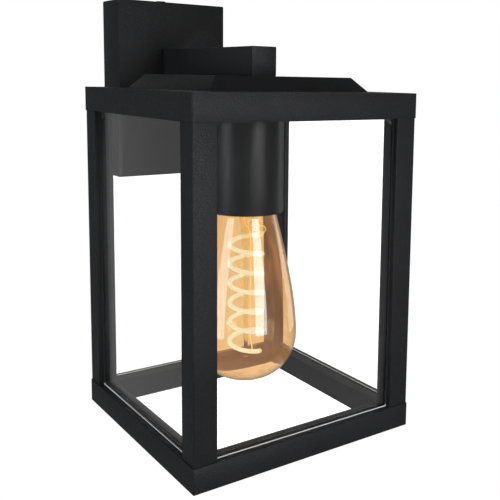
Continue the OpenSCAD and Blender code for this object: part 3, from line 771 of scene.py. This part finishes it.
class LANTERN_OT_bulb(bpy.types.Operator):
    """Amber bulb with its stem, lit spiral filament and screw cap"""

    bl_idname = "lantern.bulb"
    bl_label = "Bulb"

    def execute(self, context):
        look = context.scene.lantern_bulb
        self.envelope(look)
        self.stem()
        self.filament(look)
        self.cap()
        return {"FINISHED"}

    def outline(self, look, skin):
        """Half outline of the envelope, `skin` inside its outer surface: collar, long taper and belly."""
        low, high, _ = span("bulb_glass")
        top, tip, belly = high.z, low.z + skin, low.z + 0.265 * (high.z - low.z)
        r, neck, side = (high.x - low.x) / 2 - skin, look.neck - skin, look.shoulder - skin
        curves = (
            (6, ((neck, top), (neck, top - 0.002), (side - 0.0015, top - 0.0018), (side, top - 0.003))),
            (28, ((side, top - 0.003), (side + 0.005, top - 0.022), (r, belly + 0.025), (r, belly))),
            (22, ((r, belly), (r, belly - 0.0102), (r * 0.81, tip), (0, tip))),
        )
        points = [(neck, top)]
        for steps, handles in curves:
            points += bezier(handles, steps)[1:]
        return points

    def envelope(self, look):
        """Thin blown shell: the outer outline down to the tip, and the inner one back up."""
        shell = self.outline(look, 0.0) + self.outline(look, look.wall)[::-1]
        bm = spun(shell, 128, closed=True)
        keep(bm, "bulb_envelope", "bulb", bulb_glass(), ("bulb_glass",), 60.0)

    def stem(self):
        """Flared tube, flattened where the lead wires pass through it, with the thin middle rod."""
        low, high, _ = span("bulb_stem")
        top, foot, flare = high.z, low.z, (high.x - low.x) / 2
        press, reach, squeeze = top - 0.0165, 0.0075, 0.4
        outline = [(0, top), (flare, top), (flare - 0.0002, top - 0.0006), (flare - 0.0012, top - 0.0014)]
        outline += bezier(((flare - 0.0012, top - 0.0014), (0.007, top - 0.003), (0.0036, top - 0.006),
                           (0.0035, top - 0.0105)), 10)[1:]
        outline += bezier(((0.0035, top - 0.0195), (0.0035, top - 0.0235), (0.0014, top - 0.0235),
                           (0.0012, top - 0.0275)), 8)
        outline += [(0.0012, foot + 0.0012), (0.0016, foot + 0.0008), (0.0012, foot + 0.0002), (0, foot)]
        bm = spun(outline, 48)
        for v in bm.verts:
            near = max(0.0, 1 - abs(v.co.z - press) / reach)
            side = AXIS.x - v.co.x if v.co.z < top - 0.006 else 0.0
            v.co.x += side * squeeze * near ** 0.5
        keep(bm, "stem", "bulb", stem_glass(), ("bulb_stem",), 60.0)

    def filament(self, look):
        """Spiral filament with a ferrule at each end, the lead wires to them and three fine stays."""
        low, high, _ = span("bulb_filament")
        half = look.thickness
        top, foot, r = high.z - half, low.z + half, (high.x - low.x) / 2 - half
        steps = 300
        ferrule = 0.006  # its length, as a share of the whole spiral

        def at(t, out=0.0):
            """Point of the spiral, from 0 at its top to 1 at its foot, `out` metres further out."""
            a = 2 * pi * look.turns * t
            return (AXIS.x + (r + out) * cos(a), AXIS.y + (r + out) * sin(a), top + (foot - top) * t)

        spiral = [at(i / steps) for i in range(steps + 1)]
        wire("filament", [spiral], half, lit_filament(), "bulb", ("bulb_filament",), 16)
        nickel = nickel_wire_painted_glow()
        start, end = at(-ferrule), at(1 + ferrule)
        ends = [[at(0), start], [at(1), end]]
        wire("ferrules", ends, half * 1.08, nickel, "bulb", (), 16)
        x, y = AXIS.x, AXIS.y
        levels = {"inlet": span("bulb_stem")[1].z - 0.001, "top": top, "foot": foot}
        hook, drop = (
            [(x + right, y + back, levels[level] + up) for level, right, back, up in run]
            for run in (HOOK, DROP))
        hook.append(start)
        drop += [
            ((x + end[0]) / 2, (y + end[1]) / 2, foot - 0.0014),
            (end[0] * 0.9 + x * 0.1, end[1] * 0.9 + y * 0.1, foot - 0.0008),
            end,
        ]
        leads = [rounded(hook), rounded(drop)]
        wire("lead_wires", leads, LEAD_RADIUS, nickel, "bulb", ("bulb_lead_wires",))
        stays = []
        for share in (0.26, 0.56, 0.86):
            tip = at(share, out=-half - 0.0001)
            stays.append([
                (x + (tip[0] - x) * k, y + (tip[1] - y) * k, tip[2] + 0.0012 * (1 - k))
                for k in (0.1, 0.5, 1)])
        wire("filament_stays", stays, STAY_RADIUS, nickel, "bulb", ())

    def cap(self):
        """Screw cap with a rolled thread, its dark insulator and the contact at its end."""
        low, high, _ = span("bulb_cap")
        r, foot, top = (high.x - low.x) / 2, low.z, high.z
        rows = 72
        wall = [(r - 0.0006, foot), (r, foot)] + [
            (r, foot + 0.0015 + (top - foot - 0.0045) * i / rows) for i in range(rows + 1)]
        wall += bezier(((r, top - 0.0028), (r, top - 0.0012), (0.0118, top - 0.0003), (0.0107, top)), 6)
        wall += [
            (0.0101, top - 0.0006), (0.0117, top - 0.0026), (r - 0.0013, top - 0.005),
            (r - 0.0013, foot + 0.001)]
        bm = spun(wall, 96, closed=True)
        start, stop, pitch, depth, run_out = foot + 0.0035, top - 0.0035, 0.0036, 0.0007, 0.002
        for v in bm.verts:
            out = Vector((v.co.x - AXIS.x, v.co.y - AXIS.y, 0))
            if out.length < r - 0.0001:
                continue
            ease = min(1.0, max(0.0, (v.co.z - start) / run_out), max(0.0, (stop - v.co.z) / run_out))
            wave = 0.5 + 0.5 * cos(2 * pi * v.co.z / pitch - atan2(out.y, out.x))
            v.co -= out.normalized() * depth * wave * ease
        nickel = plated("cap_nickel", (0.7, 0.68, 0.62), 0.22, (1.0, 1.0, 0.05))
        keep(bm, "screw_cap", "bulb", nickel, ("bulb_cap",), 50.0)
        softened("bulb_cap_insulator", "bulb", dark_glass(), FINE_EDGE, segments=3)
        solder = plated("tip_solder", (0.55, 0.55, 0.56), 0.35)
        softened("bulb_end_contact", "bulb", solder, 0.0005, segments=4)


class LANTERN_OT_stage(bpy.types.Operator):
    """Pale floor, white surroundings, soft lamps and the camera"""

    bl_idname = "lantern.stage"
    bl_label = "Stage"

    def execute(self, context):
        scene = context.scene
        look = scene.lantern_stage
        self.surroundings(scene, look)
        self.floor(look)
        self.lamps(look)
        self.camera(scene, look)
        return {"FINISHED"}

    def side_light(self, x, y):
        """How bright the surroundings are towards a side: most behind the left."""
        return 0.4 + 0.35 * (y * 0.835 - x * 0.55).step(-0.7, 0.3)

    def surroundings(self, scene, look):
        """White to the camera and through glass; the light from it is soft, and strongest from behind."""
        s = Shader("surroundings", world=True)
        x, y, z = s.axes(s.node("ShaderNodeTexCoord", out="Generated"))
        around = self.side_light(x, y) * (1 - 0.6 * z.step(0.1, 0.7))
        behind_above = 0.6 * y.step(0.3, 0.8) * z.step(0.2, 0.6)
        behind_right = 1.6 * (x * 0.6 + y * 0.8).step(0.6, 0.95) * z.step(0.0, 0.25)
        light = look.soft_light * (around + behind_above + behind_right)
        seen, through = s.backdrop_seen()
        strength = seen + look.through_glass * through + (1 - seen - through).clamp() * light
        s.finish(s.node("ShaderNodeBackground", {}, {"Color": (1, 1, 1, 1), "Strength": strength}))
        scene.world = s.owner
        scene.view_settings.view_transform = "Standard"

    def floor(self, look):
        """Wide floor well below the lantern, white to the camera apart from a trace of shadow."""
        bm = bmesh.new()
        bmesh.ops.create_grid(bm, x_segments=8, y_segments=8, size=FLOOR_HALF)
        bmesh.ops.translate(bm, verts=bm.verts, vec=(0, AXIS.y, CAD_BOX[0].z - look.floor_drop))
        mesh = bpy.data.meshes.new("floor")
        bm.to_mesh(mesh)
        bm.free()
        floor = bpy.data.objects.new("floor", mesh)
        bpy.context.scene.collection.objects.link(floor)
        mesh.materials.append(self.floor_white(look))

    def floor_white(self, look):
        """Pale matt floor that shines where it is seen directly, through glass or in something glossy."""
        s = Shader("floor_white")

        def shining(strength):
            return s.node("ShaderNodeEmission", {}, {"Color": (1, 1, 1, 1), "Strength": strength})

        mottle = s.blend(s.noise(0.3, 3.0), (0.33, 0.33, 0.33), (0.37, 0.37, 0.37))
        matt = s.surface(base_color=mottle, roughness=0.9)
        x, y, z = s.axes(s.node("ShaderNodeVectorMath", {"operation": "NORMALIZE"}, {0: s.here()}))
        side = self.side_light(x, y)
        haze = side + (1.2 - 1.5 * side) * (-0.15 - z).step(0.0, 0.25)
        plain = s.mixed(s.mirrored(), matt, shining(look.soft_light * haze))
        seen, through = s.backdrop_seen()
        direct = s.mixed(seen * 0.94, plain, shining(1.06))
        return s.finish(s.mixed(through * 0.96, direct, shining(look.through_glass)))

    def lamps(self, look):
        """Soft boxes before the lantern, at its left and at its right."""
        middle = Vector((AXIS.x, AXIS.y, LAMPS_AIM))
        for name, turn, reach, rise, width, height, share, tint in LAMPS:
            lamp = bpy.data.lights.new(name, "AREA")
            lamp.shape = "RECTANGLE"
            lamp.size, lamp.size_y = width, height
            lamp.energy = look.lamp_power * share
            lamp.color = tint
            placed = bpy.data.objects.new(name, lamp)
            bpy.context.scene.collection.objects.link(placed)
            a = radians(turn)
            placed.location = middle + Vector((sin(a) * reach, -cos(a) * reach, rise))
            placed.rotation_euler = (middle - placed.location).to_track_quat("-Z", "Y").to_euler()

    def camera(self, scene, look):
        """Camera before the lantern's left corner, level with the top of the cage."""
        view = bpy.data.cameras.new("camera")
        view.lens = look.lens
        view.sensor_width = SENSOR_WIDTH
        view.shift_x, view.shift_y = CAMERA_SHIFT
        eye = bpy.data.objects.new("camera", view)
        scene.collection.objects.link(eye)
        back = CAMERA_RIGHT.cross(CAMERA_UP)
        turned = Matrix((CAMERA_RIGHT, CAMERA_UP, back)).transposed().to_4x4()
        eye.matrix_world = Matrix.Translation(CAMERA_AT) @ turned
        scene.camera = eye


# ---- Panel and running ----------------------------------------------------------

STEPS = (
    "wall_box", "arm", "cage", "panes", "lamp_cup", "lampholder", "wiring", "bracket", "fixings", "bulb",
    "stage",
)


class LANTERN_PT_panel(bpy.types.Panel):
    """The lantern's settings and its build steps"""

    bl_label = "Wall lantern"
    bl_idname = "LANTERN_PT_panel"
    bl_space_type = "VIEW_3D"
    bl_region_type = "UI"
    bl_category = "Lantern"

    def draw(self, context):
        for group in GROUPS:
            box = self.layout.box()
            box.label(text=group.__doc__)
            for key in group.__annotations__:
                box.prop(getattr(context.scene, GROUPS[group]), key)
        for step in STEPS:
            self.layout.operator("lantern." + step)


GROUPS = {
    LanternFinish: "lantern_finish",
    LanternGlass: "lantern_glass",
    LanternBulb: "lantern_bulb",
    LanternStage: "lantern_stage",
}
CLASSES = (
    *GROUPS,
    LANTERN_OT_wall_box, LANTERN_OT_arm, LANTERN_OT_cage, LANTERN_OT_panes, LANTERN_OT_lamp_cup,
    LANTERN_OT_lampholder, LANTERN_OT_wiring, LANTERN_OT_bracket, LANTERN_OT_fixings, LANTERN_OT_bulb,
    LANTERN_OT_stage, LANTERN_PT_panel,
)


def register():
    for cls in CLASSES:
        bpy.utils.register_class(cls)
    for group, name in GROUPS.items():
        setattr(bpy.types.Scene, name, PointerProperty(type=group))


def unregister():
    for name in GROUPS.values():
        delattr(bpy.types.Scene, name)
    for cls in reversed(CLASSES):
        bpy.utils.unregister_class(cls)


def main():
    register()
    for step in STEPS:
        getattr(bpy.ops.lantern, step)()


if __name__ == "__main__":
    main()
